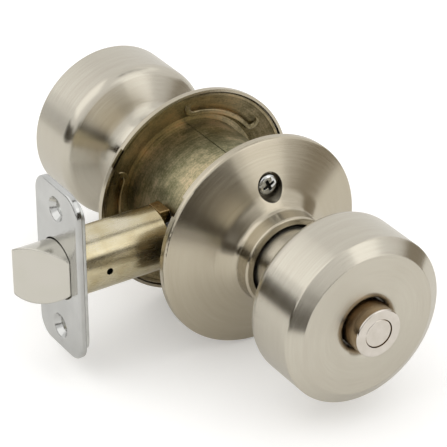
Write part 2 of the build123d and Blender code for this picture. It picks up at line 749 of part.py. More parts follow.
def faceplate():
    """Rounded front plate on the door's edge."""
    outline = RectangleRounded(FACEPLATE_WIDTH, FACEPLATE_HEIGHT, FACEPLATE_CORNER)
    plate = extrude(latch_plane(-BACKSET) * outline, FACEPLATE_THICKNESS)
    plate = fillet(plate.edges().group_by(Axis.X)[0], FACEPLATE_EDGE_FILLET)
    plate -= extrude(latch_plane(-BACKSET) * bolt_opening(BOLT_HOLE_GAP), FACEPLATE_THICKNESS)
    mouth = FACEPLATE_HOLE_RADIUS + FACEPLATE_THICKNESS * tan(radians(COUNTERSINK_ANGLE / 2))
    sink = Rot(0, 90, 0) * Cone(mouth, FACEPLATE_HOLE_RADIUS, FACEPLATE_THICKNESS)
    for z in FACEPLATE_HOLES:
        plate -= Pos((TUBE_START - BACKSET) / 2, 0, z) * sink
    return plate


def backing_plate():
    """Shorter plate behind the front plate, holding the tube."""
    outline = RectangleRounded(BACKING_WIDTH, BACKING_HEIGHT, BACKING_CORNER)
    outline -= Circle(TUBE_RADIUS + PRESS_GAP)
    plate = extrude(latch_plane(TUBE_START) * outline, BACKING_THICKNESS)
    for z in FACEPLATE_HOLES:
        plate -= rod_x(FACEPLATE_HOLE_RADIUS, TUBE_START, TUBE_START + BACKING_THICKNESS, z=z)
    return plate


def latch_tube():
    """Thin tube that houses the bolt, with one small pierced hole."""
    section = (
        (TUBE_START, TUBE_BORE, 0),
        (TUBE_START, TUBE_RADIUS, 0),
        (TUBE_END, TUBE_RADIUS, TUBE_END_FILLET),
        (TUBE_END, TUBE_BORE, 0),
    )
    tube = revolve(closed_outline(section), Axis.X)
    drill = Plane(origin=(-BACKSET + TUBE_HOLE_DEPTH, 0, 0), z_dir=(0, -1, 0))
    return tube - extrude(drill * Circle(TUBE_HOLE_RADIUS), 2 * TUBE_RADIUS)


def latch_bolt():
    """Spring bolt with a slightly crowned bevel, a flat back and a socket for its tail."""
    start = Vector(-BACKSET - BOLT_SET_IN, -BOLT_FLAT)
    tip = Vector(BOLT_TIP, BOLT_TIP_Y)
    outward = (tip - start).normalized().rotate(Axis.Z, 90)
    crown = (start + tip) / 2 + outward * BEVEL_CROWN
    side = closed_outline(
        (
            (BOLT_BACK, -BOLT_FLAT, 0),
            (start.X, start.Y, 0),
            (crown.X, crown.Y, BEVEL_FILLET),
            (tip.X, tip.Y, BOLT_TIP_FILLET),
            (BOLT_TIP, BOLT_BACK_FLAT, BOLT_TIP_FILLET),
            (BOLT_BACK, BOLT_BACK_FLAT, 0),
        )
    )
    bolt = extrude(side, BOLT_RADIUS, both=True) & rod_x(BOLT_RADIUS, BOLT_TIP, BOLT_BACK)
    half = TAIL_THICKNESS / 2 + PRESS_GAP
    height = TAIL_HALF_HEIGHT + PRESS_GAP
    bolt -= block((BOLT_BACK - TAIL_SOCKET, BOLT_BACK), (-half, half), (-height, height))
    return bolt - tail_pin(PRESS_GAP)


def tail_pin(gap=0.0):
    """Cross pin that joins the bolt and its tail, grown by a gap."""
    half = TAIL_PIN_LENGTH / 2 + gap
    return rod_y(TAIL_PIN_RADIUS + gap, -half, half, x=BOLT_BACK - TAIL_SOCKET / 2)


def bolt_tail():
    """Flat bar from the bolt to a cross head that the retractor's claws pull."""
    half = TAIL_THICKNESS / 2
    start = BOLT_BACK - TAIL_SOCKET + PRESS_GAP
    bar = block((start, TAIL_HEAD_START), (-half, half), (-TAIL_HALF_HEIGHT, TAIL_HALF_HEIGHT))
    cross = block(
        (TAIL_HEAD_START, TAIL_HEAD_START + TAIL_HEAD_THICKNESS),
        (-TAIL_HEAD_WIDTH / 2, TAIL_HEAD_WIDTH / 2),
        (-TAIL_HEAD_HALF_HEIGHT, TAIL_HEAD_HALF_HEIGHT),
    )
    return bar + cross - tail_pin(PRESS_GAP)


def tube_end_yoke():
    """End plate of the tube with two prongs that hook towards the barrel."""
    disc_radius = TUBE_BORE - PRESS_GAP
    plate = rod_x(disc_radius, YOKE_FACE, TUBE_END)
    half = TAIL_THICKNESS / 2 + FREE_GAP
    height = TAIL_HALF_HEIGHT + FREE_GAP
    plate -= block((YOKE_FACE, TUBE_END), (-half, half), (-height, height))
    low = TUBE_RADIUS - PRONG_THICKNESS
    root = (disc_radius**2 - (PRONG_WIDTH / 2) ** 2) ** 0.5
    prong_end = -(((BARREL_RADIUS + FREE_GAP) ** 2 - low**2) ** 0.5)
    width = (-PRONG_WIDTH / 2, PRONG_WIDTH / 2)
    for side in (1, -1):
        prong = block((TUBE_END + PRESS_GAP, prong_end), width, mirrored_span(low, TUBE_RADIUS, side))
        plate += fillet(prong.edges().filter_by(Axis.X), PRONG_FILLET)
        plate += block((YOKE_FACE, prong_end), width, mirrored_span(low + PRONG_FILLET, root, side))
    return plate


save("chassis_barrel", barrel())
save("inside_hub", inside(threaded_hub()))
save("outside_hub", hub(BARREL_BORE - PRESS_GAP))
save("outside_liner", liner())
save("inside_mounting_plate", inside(mounting_plate()))
save("inside_rose", inside(rose_with_pockets()))
save("outside_rose", rose())
save("mounting_screws", inside(mounting_screws()))
save("spring_seat", spring_seat())
save("retractor", retractor())
save("retractor_springs", retractor_springs())

for name, side in (("inside", inside), ("outside", Part)):
    save(f"{name}_spindle", side(spindle()))
    save(f"{name}_roll_back_cam", side(roll_back_cam()))
    save(f"{name}_retaining_ring", side(retaining_ring()))
    save(f"{name}_knob_catch", side(knob_catch()))
    save(f"{name}_knob_insert", side(knob_insert()))
    save(f"{name}_knob_back", side(knob_back()))
    save(f"{name}_knob_shell", side(knob_shell()))

save("button_sleeve", inside(button_sleeve()))
save("push_button", inside(push_button()))
save("button_disc", inside(button_disc()))
save("locking_bar", inside(locking_bar()))
save("bar_guide", inside(bar_guide()))
spring_floor = (0, INSERT_FACE + SLEEVE_FLOOR, 0)
spring_head = (0, BUTTON_UNDERSIDE - BAR_FLANGE_THICKNESS, 0)
save("button_spring", inside(coil(BUTTON_SPRING, spring_floor, spring_head, (0, 1, 0))))
save("lock_plate", lock_plate())
save("outside_face_plug", face_plug())

save("faceplate", faceplate())
save("backing_plate", backing_plate())
save("latch_tube", latch_tube())
save("latch_bolt", latch_bolt())
save("tail_pin", tail_pin())
save("bolt_tail", bolt_tail())
save("bolt_spring", coil(BOLT_SPRING, (BOLT_BACK, 0, 0), (YOKE_FACE, 0, 0), (1, 0, 0)))
save("tube_end_yoke", tube_end_yoke())
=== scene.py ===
"""Round privacy door knob set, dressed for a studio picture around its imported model."""
import math

import bpy
import numpy as np
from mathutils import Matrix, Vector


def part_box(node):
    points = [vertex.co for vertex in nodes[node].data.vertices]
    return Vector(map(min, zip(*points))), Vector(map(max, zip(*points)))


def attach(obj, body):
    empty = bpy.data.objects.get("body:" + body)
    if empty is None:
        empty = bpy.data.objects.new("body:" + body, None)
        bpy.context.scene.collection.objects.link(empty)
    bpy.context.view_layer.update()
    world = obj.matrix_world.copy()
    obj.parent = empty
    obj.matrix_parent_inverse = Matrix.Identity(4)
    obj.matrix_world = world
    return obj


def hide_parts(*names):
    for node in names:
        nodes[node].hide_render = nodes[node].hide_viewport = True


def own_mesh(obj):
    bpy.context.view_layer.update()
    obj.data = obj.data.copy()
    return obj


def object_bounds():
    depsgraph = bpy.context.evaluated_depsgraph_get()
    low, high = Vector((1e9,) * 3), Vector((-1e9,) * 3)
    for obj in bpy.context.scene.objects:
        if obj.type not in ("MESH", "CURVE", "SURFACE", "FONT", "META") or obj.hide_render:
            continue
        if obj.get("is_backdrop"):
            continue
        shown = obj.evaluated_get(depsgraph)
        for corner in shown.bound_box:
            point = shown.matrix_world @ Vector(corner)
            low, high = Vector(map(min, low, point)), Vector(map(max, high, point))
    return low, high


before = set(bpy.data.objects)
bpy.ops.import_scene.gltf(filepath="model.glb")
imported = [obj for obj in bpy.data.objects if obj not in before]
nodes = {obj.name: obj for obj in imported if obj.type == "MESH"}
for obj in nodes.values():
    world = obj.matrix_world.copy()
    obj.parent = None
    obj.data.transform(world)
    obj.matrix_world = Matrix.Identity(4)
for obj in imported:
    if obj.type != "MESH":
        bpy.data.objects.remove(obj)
cad_low, cad_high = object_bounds()

# Lock body: a rolled steel barrel between two flanged hubs that carry the spindles.
# Zinc plated and dipped in yellow dichromate, which leaves an uneven olive and gold film.
# The outside hub is pressed into the barrel; the inside one closes its end and takes the screws.
MM = 0.001


def linear(colour):
    """Linear RGBA of an sRGB hex colour, by the sRGB curve."""
    srgb = np.array([int(colour[i:i + 2], 16) for i in (1, 3, 5)]) / 255
    rgb = np.where(srgb <= 0.04045, srgb / 12.92, ((srgb + 0.055) / 1.055) ** 2.4)
    return (*rgb.tolist(), 1.0)


def add(tree, kind, inputs=None, stops=(), **settings):
    """Add one shader node with its settings and links.

    Settings are the node's properties. Inputs are values for its sockets, or what feeds them: a
    socket, or a node, which gives its first output in use. Stops are a ramp's places and hex colours.
    """
    node = tree.nodes.new("ShaderNode" + kind)
    for name, value in settings.items():
        setattr(node, name, value)
    for socket, value in (inputs or {}).items():
        if isinstance(value, bpy.types.Node):
            value = next(output for output in value.outputs if output.enabled)
        if isinstance(value, bpy.types.NodeSocket):
            tree.links.new(value, node.inputs[socket])
        else:
            node.inputs[socket].default_value = value
    if stops:
        elements = node.color_ramp.elements
        while len(elements) < len(stops):
            elements.new(0.5)
        for element, (place, colour) in zip(elements, stops):
            element.position = place
            element.color = linear(colour)
    return node


def new_material(name):
    """Empty node material and its tree."""
    material = bpy.data.materials.new(name)
    material.use_nodes = True
    material.node_tree.nodes.clear()
    return material, material.node_tree


def finish_nodes(material, *names):
    """Give CAD nodes their material."""
    for name in names:
        nodes[name].data.materials.clear()
        nodes[name].data.materials.append(material)


def per_metre(size_mm):
    """Texture scale for a pattern with features of this size."""
    return 1 / (size_mm * MM)


# How far a ring pattern wanders through its noise on the way round.
RING_DRIFT = 0.7 * MM


def ring_coordinates(tree, place):
    """Coordinates that draw a noise out to rings about the knob axis: vector, fourth part, flat place.

    The vector is the radius, the place on the axis and the drift times the turn's cosine; the fourth
    part is the drift times its sine. The flat place is the one across the axis.
    """
    parts = add(tree, "SeparateXYZ", {"Vector": place})
    flat = add(tree, "CombineXYZ", {"X": parts.outputs["X"], "Y": parts.outputs["Z"]})
    radius = add(tree, "VectorMath", {0: flat}, operation="LENGTH")
    turn = add(tree, "VectorMath", {0: flat}, operation="NORMALIZE")
    drift = add(tree, "VectorMath", {0: turn, "Scale": RING_DRIFT}, operation="SCALE")
    drift = add(tree, "SeparateXYZ", {"Vector": drift})
    vector = add(tree, "CombineXYZ", {"X": radius, "Y": parts.outputs["Y"], "Z": drift.outputs["X"]})
    return vector, drift.outputs["Y"], flat


# Nearly all values of a noise lie between these two.
NOISE_LOW = 0.3
NOISE_HIGH = 0.7
NOISE_SPAN = {"From Min": NOISE_LOW, "From Max": NOISE_HIGH}

# Sockets of a Mix node: the second input's share, and its two numbers.
SHARE, FIRST, SECOND = 0, 2, 3

# Marks in the film. Real rub lines are finer than this: they are drawn as coarse as they need to show.
CLOUD_MM = 15
BLOTCH_MM = 3.5
SPECK_MM = 0.6
RUB_LINE_MM = 0.5
BLOTCH_SHARE = 0.38
RUB_SHARE = 0.5
FINE_SHARE = 0.38
FILM_DULLING = 0.14
FILM_PLACES = (0.36, 0.44, 0.50, 0.56, 0.64)


def zinc_dichromate(name, film, dullness):
    """Yellow dichromate on zinc, dipped and then handled.

    The eye sees clouds and blotches in the film's colours, with fine rubbed rings and specks, and a
    soft shine that is duller where the film is pale.
    """
    material, tree = new_material(name)
    place = add(tree, "TexCoord").outputs["Object"]
    clouds = add(tree, "TexNoise", {"Vector": place, "Scale": per_metre(CLOUD_MM), "Detail": 3.0})
    blotches = add(
        tree,
        "TexNoise",
        {"Vector": place, "Scale": per_metre(BLOTCH_MM), "Detail": 5.0, "Roughness": 0.65},
    )
    specks = add(tree, "TexNoise", {"Vector": place, "Scale": per_metre(SPECK_MM), "Detail": 2.0})
    rings, fourth, _ = ring_coordinates(tree, place)
    rubs = add(
        tree,
        "TexNoise",
        {"Vector": rings, "W": fourth, "Scale": per_metre(RUB_LINE_MM), "Detail": 3.0},
        noise_dimensions="4D",
    )
    stain = add(tree, "Mix", {SHARE: BLOTCH_SHARE, FIRST: clouds, SECOND: blotches})
    fine = add(tree, "Mix", {SHARE: RUB_SHARE, FIRST: specks, SECOND: rubs})
    blend = add(tree, "Mix", {SHARE: FINE_SHARE, FIRST: stain, SECOND: fine})
    colour = add(tree, "ValToRGB", {"Fac": blend}, stops=list(zip(FILM_PLACES, film)))
    dull = add(
        tree,
        "MapRange",
        {"Value": clouds, **NOISE_SPAN, "To Min": dullness, "To Max": dullness + FILM_DULLING},
    )
    bump = add(tree, "Bump", {"Height": fine, "Strength": 0.12, "Distance": 0.05 * MM})
    shader = add(
        tree,
        "BsdfPrincipled",
        {"Base Color": colour, "Metallic": 1.0, "Roughness": dull, "Normal": bump},
    )
    add(tree, "OutputMaterial", {"Surface": shader})
    return material


OLIVE_FILM = ("#6d6b4c", "#868262", "#a49c7b", "#c5b592", "#d6bfa2")
olive = zinc_dichromate("olive_dichromate", OLIVE_FILM, dullness=0.36)
finish_nodes(olive, "chassis_barrel", "inside_hub", "outside_hub")

# Inner steel: spindles, cams, retractor, latch tail and the pieces that carry them.
# Cold rolled or sintered steel with a thin zinc flash, left as it comes from the tumbler.
# The spindles turn in the hubs, and their cams draw the retractor and the tail along.
PEEN_MM = 0.7
STEEL_CLOUD_MM = 6


def tumbled_steel():
    """Zinc flashed steel from a tumbler: the eye sees a dull, even grey with fine peening."""
    material, tree = new_material("tumbled_steel")
    place = add(tree, "TexCoord").outputs["Object"]
    peening = add(tree, "TexNoise", {"Vector": place, "Scale": per_metre(PEEN_MM), "Detail": 3.0})
    clouds = add(tree, "TexNoise", {"Vector": place, "Scale": per_metre(STEEL_CLOUD_MM), "Detail": 3.0})
    tones = ((NOISE_LOW, "#b9b9b8"), (NOISE_HIGH, "#cbcbca"))
    colour = add(tree, "ValToRGB", {"Fac": clouds}, stops=tones)
    rough = add(tree, "MapRange", {"Value": peening, **NOISE_SPAN, "To Min": 0.32, "To Max": 0.44})
    bump = add(tree, "Bump", {"Height": peening, "Strength": 0.1, "Distance": 0.05 * MM})
    shader = add(
        tree,
        "BsdfPrincipled",
        {"Base Color": colour, "Metallic": 1.0, "Roughness": rough, "Normal": bump},
    )
    add(tree, "OutputMaterial", {"Surface": shader})
    return material


steel = tumbled_steel()
for side in ("inside", "outside"):
    finish_nodes(
        steel,
        f"{side}_spindle",
        f"{side}_roll_back_cam",
        f"{side}_knob_insert",
        f"{side}_retaining_ring",
        f"{side}_knob_catch",
    )
finish_nodes(
    steel,
    "button_sleeve",
    "bar_guide",
    "locking_bar",
    "lock_plate",
    "retractor",
    "spring_seat",
    "bolt_tail",
    "tail_pin",
)

# Springs: a bolt spring in the latch tube, two behind the retractor and one under the button.
# Coiled from hard drawn round wire with a closed turn at each end.
HAZE_DULLING = 1.6
BEVEL_SAMPLES = 6


def bright_plate(name, light, dark, roughness, cloud_mm, edge_mm):
    """Polished metal or plating, in a light and a dark tone and with edges eased to a radius.

    The eye sees a mirror with a faint clouding in its tone and gloss, and a glint along its edges.
    """
    material, tree = new_material(name)
    place = add(tree, "TexCoord").outputs["Object"]
    haze = add(tree, "TexNoise", {"Vector": place, "Scale": per_metre(cloud_mm), "Detail": 4.0})
    colour = add(tree, "ValToRGB", {"Fac": haze}, stops=((NOISE_LOW, dark), (NOISE_HIGH, light)))
    gloss = add(
        tree,
        "MapRange",
        {"Value": haze, **NOISE_SPAN, "To Min": roughness, "To Max": HAZE_DULLING * roughness},
    )
    eased = add(tree, "Bevel", {"Radius": edge_mm * MM}, samples=BEVEL_SAMPLES)
    shader = add(
        tree,
        "BsdfPrincipled",
        {"Base Color": colour, "Metallic": 1.0, "Roughness": gloss, "Normal": eased},
    )
    add(tree, "OutputMaterial", {"Surface": shader})
    return material


SHARP_ANGLE = math.radians(35)


def closed_grids(name, *grids):
    """Mesh of grids whose columns close to rings, each with its first and last ring capped.

    Faces point outwards where the columns go round the rows' direction by the left hand.
    """
    points = np.concatenate([grid.reshape(-1, 3) for grid in grids])
    faces = []
    start = 0
    for grid in grids:
        rows, columns, _ = grid.shape
        number = start + np.arange(rows * columns).reshape(rows, columns)
        after = np.roll(number, -1, axis=1)
        corners = [number[:-1], number[1:], after[1:], after[:-1]]
        faces += np.stack(corners, -1).reshape(-1, 4).tolist()
        faces += [number[0].tolist(), number[-1, ::-1].tolist()]
        start += rows * columns
    mesh = bpy.data.meshes.new(name)
    mesh.from_pydata(points.tolist(), [], faces)
    mesh.shade_smooth()
    mesh.set_sharp_from_angle(angle=SHARP_ANGLE)
    piece = bpy.data.objects.new(name, mesh)
    bpy.context.scene.collection.objects.link(piece)
    return piece


STEPS_PER_TURN = 30
WIRE_SIDES = 12


def coil_grid(low, high, axis, wire, turns):
    """Spring of round wire in a box: rows follow the wire, columns go round it.

    The wire's centre circles the long axis and advances by one thickness in each end turn, evenly
    between. A point is the centre plus the wire's radius times the cosine of its angle outwards and
    the sine along the axis.
    """
    turn = np.linspace(0, turns, STEPS_PER_TURN * turns + 1)
    length = high[axis] - low[axis]
    thick = 2 * wire
    places = (wire, wire + thick, length - wire - thick, length - wire)
    advance = np.interp(turn, (0, 1, turns - 1, turns), places)
    along = np.eye(3)[axis]
    upright = np.eye(3)[2]
    angle = 2 * np.pi * turn[:, None]
    outward = np.cos(angle) * upright + np.sin(angle) * np.cross(along, upright)
    start = np.where(along == 1, low, (low + high) / 2)
    radius = (high[2] - low[2]) / 2 - wire
    centre = start + advance[:, None] * along + radius * outward
    round_wire = np.radians(np.linspace(0, 360, WIRE_SIDES, endpoint=False))[:, None]
    ring = np.cos(round_wire) * outward[:, None] + np.sin(round_wire) * along
    return centre[:, None] + wire * ring


# For each node: its joint and body, its long axis, its wire's radius, its turns and its springs.
SPRINGS = {
    "bolt_spring": ("latch_bolt_slide", "lock_case", 0, 0.4 * MM, 5, 1),
    "retractor_springs": ("retractor_slide", "lock_case", 0, 0.3 * MM, 9, 2),
    "button_spring": ("push_button_press", "inside_knob", 1, 0.35 * MM, 5, 1),
}
drawn_wire = bright_plate(
    "drawn_wire", light="#b9b8b4", dark="#8e8d89", roughness=0.18, cloud_mm=1.0, edge_mm=0.1
)
for name, (joint, body, axis, wire, turns, count) in SPRINGS.items():
    low, high = (np.array(corner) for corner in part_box(name))
    boxes = [(low, high)]
    if count == 2:
        width = high[1 - axis] - low[1 - axis]
        upper_low = np.array([low[0], low[1], high[2] - width])
        lower_high = np.array([high[0], high[1], low[2] + width])
        boxes = [(upper_low, high), (low, lower_high)]
    spring = closed_grids(f"{name}_wire", *[coil_grid(*box, axis, wire, turns) for box in boxes])
    spring.data.materials.append(drawn_wire)
    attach(spring, body)
    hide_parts(name)
    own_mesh(spring)

# Latch case: a thin drawn steel tube with one pierced hole, and a pronged yoke pressed in its end.
# The tube has yellow zinc plate with a soft brassy shine; the yoke is stamped from bronze strip.
DRAW_LINE_MM = 0.8
DRAW_LINE_SQUEEZE = 0.12
YELLOW_CLOUD_MM = 7


def yellow_zinc():
    """Yellow zinc plate on drawn tube: the eye sees pale brass, faintly clouded.

    Its shine is streaked lengthwise by the draw lines, which are drawn as coarse as they need to show.
    """
    material, tree = new_material("yellow_zinc")
    place = add(tree, "TexCoord").outputs["Object"]
    drawn = add(tree, "Mapping", {"Vector": place, "Scale": (DRAW_LINE_SQUEEZE, 1.0, 1.0)})
    lines = add(tree, "TexNoise", {"Vector": drawn, "Scale": per_metre(DRAW_LINE_MM), "Detail": 3.0})
    clouds = add(tree, "TexNoise", {"Vector": place, "Scale": per_metre(YELLOW_CLOUD_MM), "Detail": 4.0})
    tones = ((0.32, "#beaf8b"), (0.5, "#cabf9f"), (0.68, "#d3cab2"))
    colour = add(tree, "ValToRGB", {"Fac": clouds}, stops=tones)
    rough = add(tree, "MapRange", {"Value": lines, **NOISE_SPAN, "To Min": 0.22, "To Max": 0.30})
    shader = add(tree, "BsdfPrincipled", {"Base Color": colour, "Metallic": 1.0, "Roughness": rough})
    add(tree, "OutputMaterial", {"Surface": shader})
    return material


finish_nodes(yellow_zinc(), "latch_tube")
bronze = bright_plate(
    "bronze_strip", light="#b39a6e", dark="#8f7755", roughness=0.20, cloud_mm=3.0, edge_mm=0.25
)
finish_nodes(bronze, "tube_end_yoke")

# Faceplate and backing plate: blanked steel plates, the front one eased and countersunk.
# Bright zinc, with handling marks on the front plate; the back one holds the tube.
RUB_MARK_MM = 0.6
RUB_MARK_SQUEEZE = 0.15
ZINC_CLOUD_MM = 9
FACEPLATE_EASE = 0.5 * MM


def rubbed_zinc():
    """Bright zinc that has been handled: the eye sees a pale mirror, a little cloudy.

    Short upright rub marks dull it; they are drawn as coarse as they need to show.
    """
    material, tree = new_material("rubbed_zinc")
    place = add(tree, "TexCoord").outputs["Object"]
    upright = add(tree, "Mapping", {"Vector": place, "Scale": (1.0, 1.0, RUB_MARK_SQUEEZE)})
    marks = add(tree, "TexNoise", {"Vector": upright, "Scale": per_metre(RUB_MARK_MM), "Detail": 3.0})
    clouds = add(tree, "TexNoise", {"Vector": place, "Scale": per_metre(ZINC_CLOUD_MM), "Detail": 3.0})
    tones = ((NOISE_LOW, "#b7b7b4"), (NOISE_HIGH, "#c5c5c2"))
    colour = add(tree, "ValToRGB", {"Fac": clouds}, stops=tones)
    rough = add(tree, "MapRange", {"Value": marks, **NOISE_SPAN, "To Min": 0.13, "To Max": 0.24})
    eased = add(tree, "Bevel", {"Radius": FACEPLATE_EASE}, samples=BEVEL_SAMPLES)
    shader = add(
        tree,
        "BsdfPrincipled",
        {"Base Color": colour, "Metallic": 1.0, "Roughness": rough, "Normal": eased},
    )
    add(tree, "OutputMaterial", {"Surface": shader})
    return material


finish_nodes(rubbed_zinc(), "faceplate")
dull_zinc = bright_plate(
    "dull_zinc", light="#d4d5d1", dark="#b7b8b4", roughness=0.28, cloud_mm=4.0, edge_mm=0.3
)
finish_nodes(dull_zinc, "backing_plate")

# Latch bolt: a bevelled bolt cast in zinc and nickel plated, which slides in the tube.
# Lightly polished, so its bevel is even and its edges are bright.
plated_casting = bright_plate(
    "plated_casting", light="#cbc7be", dark="#c6c3b8", roughness=0.17, cloud_mm=6.0, edge_mm=0.8
)
finish_nodes(plated_casting, "latch_bolt")

# Liner in the outside rose and mounting plate in the inside one: stamped steel sheet.
# Dipped longer than the lock body, so the film is browner and shinier.
# The liner is trapped by the rose, and the plate is pierced for the two screws.
BROWN_FILM = ("#5a5440", "#786e53", "#918569", "#aa9774", "#b59672")
brown = zinc_dichromate("brown_dichromate", BROWN_FILM, dullness=0.26)
finish_nodes(brown, "outside_liner", "inside_mounting_plate")

# Roses: brass sheet drawn to a trumpet shape and spun to a satin with an abrasive pad.
# Nickel plated; two screws in pockets of the inside rose draw both against the door.
ROSE_TONES = ("#b4ab97", "#b8af9c", "#bcb4a1")
POCKET_RADIUS = 4.25 * MM
POCKET_MARGIN = 0.1 * MM
# Painted shade: the darker colour painted inside the deep screw pockets.
POCKET_SHADE_COLOUR = "#8d877a"
SCREW_HEAD_RADIUS = 3.4 * MM
screws_low, screws_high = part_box("mounting_screws")
screw_heights = (screws_high.z - SCREW_HEAD_RADIUS, screws_low.z + SCREW_HEAD_RADIUS)

# The pad's lines and bands. Its real lines are finer: they are drawn as coarse as they need to show.
PAD_LINE_MM = 0.3
PAD_BAND_MM = 4.0
PAD_BAND_SHARE = 0.35
TONE_PLACES = (0.36, 0.50, 0.64)

# Colour sockets of a Mix node.
FIRST_COLOUR, SECOND_COLOUR = 6, 7


def spun_satin_nickel(name, tones, pocket_heights):
    """Satin nickel, spun against a pad: the eye sees fine rings about the knob axis in three tones.

    Highlights spread across the rings. Pocket heights are where round pockets lie; inside them
    the colour is painted darker, as painted shade in the deep pockets.
    """
    material, tree = new_material(name)
    place = add(tree, "TexCoord").outputs["Object"]
    rings, fourth, flat = ring_coordinates(tree, place)
    lines, bands = (
        add(
            tree,
            "TexNoise",
            {"Vector": rings, "W": fourth, "Scale": per_metre(size_mm), "Detail": detail},
            noise_dimensions="4D",
        )
        for size_mm, detail in ((PAD_LINE_MM, 3.0), (PAD_BAND_MM, 2.0))
    )
    blend = add(tree, "Mix", {SHARE: PAD_BAND_SHARE, FIRST: lines, SECOND: bands})
    colour = add(tree, "ValToRGB", {"Fac": blend}, stops=list(zip(TONE_PLACES, tones)))
    rough = add(tree, "MapRange", {"Value": blend, **NOISE_SPAN, "To Min": 0.22, "To Max": 0.27})
    # Inside each pocket the colour is painted darker: painted shade where the pocket is deep.
    for height in pocket_heights:
        middle = add(tree, "VectorMath", {0: flat, 1: (0, height, 0)}, operation="DISTANCE")
        inside = add(tree, "Math", {0: middle, 1: POCKET_RADIUS + POCKET_MARGIN}, operation="LESS_THAN")
        colour = add(
            tree,
            "Mix",
            {SHARE: inside, FIRST_COLOUR: colour, SECOND_COLOUR: linear(POCKET_SHADE_COLOUR)},
            data_type="RGBA",
        )
    tangent = add(tree, "Tangent", direction_type="RADIAL", axis="Y")
    bump = add(tree, "Bump", {"Height": lines, "Strength": 0.03, "Distance": 0.02 * MM})
    shader = add(
        tree,
        "BsdfPrincipled",
        {
            "Base Color": colour,
            "Metallic": 1.0,
            "Roughness": rough,
            "Anisotropic": 0.85,
            "Anisotropic Rotation": 0.25,
            "Tangent": tangent,
            "Normal": bump,
        },
    )
    add(tree, "OutputMaterial", {"Surface": shader})
    return material


finish_nodes(spun_satin_nickel("warm_satin_nickel", ROSE_TONES, ()), "outside_rose")
finish_nodes(spun_satin_nickel("pocket_shaded_satin_nickel", ROSE_TONES, screw_heights), "inside_rose")

# Mounting screws: two steel machine screws with pan heads and a cross recess.
# Headed, thread rolled and bright plated; they draw the inside rose to the lock body.
SCREW_RADIUS = 2.0 * MM
SCREW_POINT = 0.4 * MM
SCREW_HEAD_HEIGHT = 2.1 * MM
SCREW_CROWN = 0.35 * MM
SCREW_EDGE = 0.7 * MM
SCREW_TURNS = (25, 70)
SCREW_CLOUD_MM = 1.4
THREAD_PITCH = 0.8 * MM
THREAD_DEPTH = 0.4 * MM
RECESS_WIDTH = 1.05 * MM
RECESS_REACH = 2.1 * MM
RECESS_DEPTH = 1.2 * MM
RECESS_SLOPE = 0.18 * MM
RECESS_RISE = 0.4

# Rings and columns of the screw's mesh.
SCREW_COLUMNS = 96
FIRST_RING = 0.02 * MM
HEAD_RINGS = 44
EDGE_RINGS = 8
RINGS_PER_PITCH = 8


def screw_zinc():
    """Bright zinc: the eye sees a small mirror whose cross recess is painted near black, as painted shade,
    and duller.
    """
    material, tree = new_material("bright_zinc")
    place = add(tree, "TexCoord").outputs["Object"]
    haze = add(tree, "TexNoise", {"Vector": place, "Scale": per_metre(SCREW_CLOUD_MM), "Detail": 4.0})
    tones = ((NOISE_LOW, "#a9aaa6"), (NOISE_HIGH, "#dededb"))
    plate = add(tree, "ValToRGB", {"Fac": haze}, stops=tones)
    # The sunk cross is painted near black, as painted shade in the recess; it is also duller.
    sunk = add(tree, "Attribute", attribute_name="sunk").outputs["Fac"]
    colour = add(
        tree,
        "Mix",
        {SHARE: sunk, FIRST_COLOUR: plate, SECOND_COLOUR: linear("#2a2a27")},
        data_type="RGBA",
    )
    gloss = add(tree, "MapRange", {"Value": sunk, "To Min": 0.06, "To Max": 0.35})
    shader = add(tree, "BsdfPrincipled", {"Base Color": colour, "Metallic": 1.0, "Roughness": gloss})
    add(tree, "OutputMaterial", {"Surface": shader})
    return material


def screw_grid(height, degrees):
    """Screw from the middle of its head to its tip, and how far each point is sunk, from 0 to 1.

    Rows follow the profile and columns go round. The top is a shallow dome sunk by a cross whose
    arms get shallower outwards; the edge is a quarter circle; the shank's radius falls by a triangle
    wave of its depth less its turn.
    """
    turn = np.radians(np.linspace(0, 360, SCREW_COLUMNS, endpoint=False))[None, :]
    flat = np.linspace(FIRST_RING, SCREW_HEAD_RADIUS - SCREW_EDGE, HEAD_RINGS)
    bend = np.linspace(0, math.pi / 2, EDGE_RINGS + 1)[1:]
    length = screws_high.y - screws_low.y
    shank = np.arange(SCREW_HEAD_HEIGHT, length - SCREW_POINT, THREAD_PITCH / RINGS_PER_PITCH)
    radius = np.concatenate(
        [
            flat,
            SCREW_HEAD_RADIUS - SCREW_EDGE + SCREW_EDGE * np.sin(bend),
            [SCREW_HEAD_RADIUS],
            np.full_like(shank, SCREW_RADIUS),
            [SCREW_RADIUS - THREAD_DEPTH],
        ]
    )
    depth = np.concatenate(
        [
            SCREW_CROWN * (flat / SCREW_HEAD_RADIUS) ** 2,
            SCREW_CROWN + SCREW_EDGE * (1 - np.cos(bend)),
            [SCREW_HEAD_HEIGHT],
            shank,
            [length],
        ]
    )
    radius, depth = np.broadcast_arrays(radius[:, None], depth[:, None] + 0 * turn)
    wave = np.abs(2 * ((depth / THREAD_PITCH - turn / (2 * math.pi)) % 1) - 1)
    cut = np.clip((depth - SCREW_HEAD_HEIGHT) / THREAD_PITCH, 0, 1) * (depth < length)
    radius = radius - THREAD_DEPTH * wave * cut
    along, across = radius * np.cos(turn), radius * np.sin(turn)
    arms = [
        np.clip((RECESS_WIDTH / 2 - np.abs(one)) / RECESS_SLOPE, 0, 1)
        * np.clip((RECESS_REACH - np.abs(other)) / RECESS_SLOPE, 0, 1)
        for one, other in ((along, across), (across, along))
    ]
    top = (np.arange(len(radius)) < len(flat))[:, None]
    sunk = top * np.maximum(*arms)
    depth = depth + RECESS_DEPTH * sunk * (1 - RECESS_RISE * radius / RECESS_REACH)
    tilt = math.radians(degrees)
    x = along * math.cos(tilt) - across * math.sin(tilt)
    z = along * math.sin(tilt) + across * math.cos(tilt)
    return np.stack([x, screws_low.y + depth, height + z], -1), sunk


